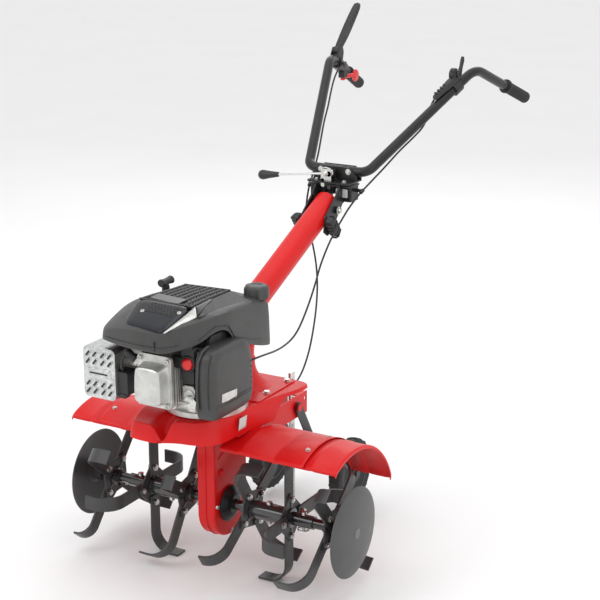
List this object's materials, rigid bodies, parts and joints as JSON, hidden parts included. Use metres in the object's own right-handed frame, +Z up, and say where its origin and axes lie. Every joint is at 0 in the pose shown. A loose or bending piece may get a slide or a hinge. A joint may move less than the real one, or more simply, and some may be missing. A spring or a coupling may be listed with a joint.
{
  "type": "motor tiller",
  "caption": "Walk-behind motor tiller: worm-gear leg on a tined rotor under fenders, vertical-shaft engine, sloping column and a swivelling U handlebar with levers.",
  "frame": {"origin": "on the ground straight under the middle of the tine axle", "axes": "+Z up, -Y the way the machine travels, +X along the tine axle towards the air filter's side"},
  "size_m": [0.752, 1.5076, 1.2456],
  "materials": {
    "red_paint": "gloss",
    "black_paint": "satin",
    "gloss_black_paint": "gloss",
    "tine_black": "satin",
    "disc_grey": "satin",
    "zinc_steel": "zinc plated",
    "machined_steel": "machined",
    "galvanised_sheet": "galvanised",
    "bronze": "machined",
    "cast_iron": "cast",
    "cast_aluminium": "cast",
    "grey_plastic": "fine grain",
    "black_plastic": "satin",
    "red_plastic": "gloss",
    "belt_rubber": "matt",
    "grip_rubber": "matt",
    "red_rubber": "satin",
    "tyre_rubber": "matt",
    "cable_jacket": "satin",
    "chrome_rod": "polished"
  },
  "bodies": {
    "root": {"gearcase_left": "red_paint", "gearcase_right": "red_paint", "bearing_covers": "black_paint", "bearings": "machined_steel", "chassis_hood": "red_paint", "inner_fenders": "red_paint", "outer_fenders": "red_paint", "flange_bolts": "zinc_steel", "column_foot": "red_paint", "column_tube": "red_paint", "rear_bracket": "black_paint", "crankcase": "cast_aluminium", "cylinder_head": "cast_aluminium", "valve_cover": "cast_aluminium", "muffler": "galvanised_sheet", "muffler_guard": "galvanised_sheet", "spark_plug": "black_plastic", "carburettor": "cast_aluminium", "primer_housing": "black_plastic", "air_filter_cover": "grey_plastic", "blower_shroud": "grey_plastic", "top_grille": "grey_plastic", "fuel_tank": "black_plastic", "drive_belt": "belt_rubber", "lower_cables": "cable_jacket"},
    "rotor": {"tine_axle": "gloss_black_paint", "worm_wheel": "bronze", "inner_hubs": "gloss_black_paint", "outer_hubs": "gloss_black_paint", "tine_flanges": "tine_black", "tines": "tine_black", "tine_bolts": "zinc_steel", "hitch_pins": "zinc_steel", "end_discs": "disc_grey"},
    "worm": {"worm_shaft": "machined_steel", "driven_pulley": "cast_iron"},
    "crank": {"crankshaft": "machined_steel", "flywheel": "cast_aluminium", "drive_pulley": "cast_iron"},
    "idler_arm": {"idler_arm": "zinc_steel"},
    "idler_pulley": {"idler_pulley": "machined_steel"},
    "head": {"head_bracket": "black_paint"},
    "clamp_knobs": {"clamp_knobs": "black_plastic"},
    "handlebar": {"swivel_saddle": "black_paint", "handlebar": "black_paint", "hand_grips": "grip_rubber", "lever_brackets": "black_plastic", "upper_cables": "cable_jacket"},
    "lock_lever": {"lock_lever": "chrome_rod"},
    "clutch_lever": {"clutch_lever": "black_plastic"},
    "safety_button": {"safety_button": "red_plastic"},
    "throttle_lever": {"throttle_lever": "black_plastic"},
    "fuel_cap": {"fuel_cap": "black_plastic"},
    "primer_bulb": {"primer_bulb": "red_rubber"},
    "starter_handle": {"starter_handle": "black_plastic", "starter_rope": "cable_jacket"},
    "wheel_frame": {"wheel_frame": "black_paint"},
    "wheels": {"wheel_rims": "black_plastic", "wheel_tyres": "tyre_rubber"},
    "depth_spur": {"depth_spur": "zinc_steel"}
  },
  "joints": [
    {"name": "rotor_spin", "type": "hinge", "parent": "root", "child": "rotor", "pos_m": [0, 0, 0.172], "axis": [1, 0, 0], "continuous": true},
    {"name": "worm_spin", "type": "hinge", "parent": "root", "child": "worm", "pos_m": [0, 0.0485, 0.172], "axis": [0, 0, 1], "continuous": true},
    {"name": "crank_spin", "type": "hinge", "parent": "root", "child": "crank", "pos_m": [0, -0.06, 0.5], "axis": [0, 0, 1], "continuous": true},
    {"name": "head_tilt", "type": "hinge", "parent": "root", "child": "head", "pos_m": [0, 0.512, 0.79], "axis": [1, 0, 0], "range_deg": [-12, 12], "deforming": ["lower_cables"]},
    {"name": "handlebar_swivel", "type": "hinge", "parent": "head", "child": "handlebar", "pos_m": [0, 0.562, 0.85], "axis": [0, 0, 1], "range_deg": [-30, 30], "deforming": ["upper_cables"]},
    {"name": "lock_lever_turn", "type": "hinge", "parent": "handlebar", "child": "lock_lever", "pos_m": [0, 0.5445, 0.876], "axis": [0, 1, 0], "range_deg": [0, 15]},
    {"name": "clutch_squeeze", "type": "hinge", "parent": "handlebar", "child": "clutch_lever", "pos_m": [-0.231, 1.003, 1.122], "axis": [1, 0, 0], "range_deg": [-60, 0], "stiffness_Nm_per_rad": 1.2, "springref_deg": 28.65},
    {"name": "idler_swing", "type": "hinge", "parent": "root", "child": "idler_arm", "pos_m": [-0.086, 0.062, 0.423], "axis": [0, 0, 1], "range_deg": [0, 12]},
    {"name": "idler_spin", "type": "hinge", "parent": "idler_arm", "child": "idler_pulley", "pos_m": [-0.0785, -0.028, 0.411], "axis": [0, 0, 1], "continuous": true},
    {"name": "safety_press", "type": "slide", "parent": "handlebar", "child": "safety_button", "axis": [0, 0, 1], "range_m": [0, 0.004], "stiffness_N_per_m": 400, "springref_m": -0.002},
    {"name": "throttle_turn", "type": "hinge", "parent": "handlebar", "child": "throttle_lever", "pos_m": [0.2051, 0.8777, 1.1037], "axis": [1, 0, 0], "range_deg": [-40, 25]},
    {"name": "clamp_knobs_turn", "type": "hinge", "parent": "root", "child": "clamp_knobs", "pos_m": [0, 0.471, 0.757], "axis": [1, 0, 0], "continuous": true},
    {"name": "fuel_cap_turn", "type": "hinge", "parent": "root", "child": "fuel_cap", "pos_m": [0.08, 0.046, 0.7], "axis": [0, 0, 1], "range_deg": [0, 90]},
    {"name": "primer_press", "type": "slide", "parent": "root", "child": "primer_bulb", "axis": [0, 1, 0], "range_m": [0, 0.005], "stiffness_N_per_m": 500, "springref_m": -0.002},
    {"name": "starter_pull", "type": "slide", "parent": "root", "child": "starter_handle", "axis": [0, 0, 1], "range_m": [0, 0.45], "stiffness_N_per_m": 30, "springref_m": -0.15, "deforming": ["starter_rope"]},
    {"name": "wheel_swing", "type": "hinge", "parent": "root", "child": "wheel_frame", "pos_m": [0, 0.318, 0.314], "axis": [1, 0, 0], "range_deg": [-15, 0]},
    {"name": "wheels_spin", "type": "hinge", "parent": "wheel_frame", "child": "wheels", "pos_m": [0, 0.44, 0.11], "axis": [1, 0, 0], "continuous": true},
    {"name": "spur_slide", "type": "slide", "parent": "root", "child": "depth_spur", "axis": [0, 0, 1], "range_m": [0, 0.06]}
  ],
  "couplings": [
    {"joint": "worm_spin", "follows": "rotor_spin", "ratio": 28},
    {"joint": "idler_swing", "follows": "clutch_squeeze", "ratio": -0.2}
  ]
}
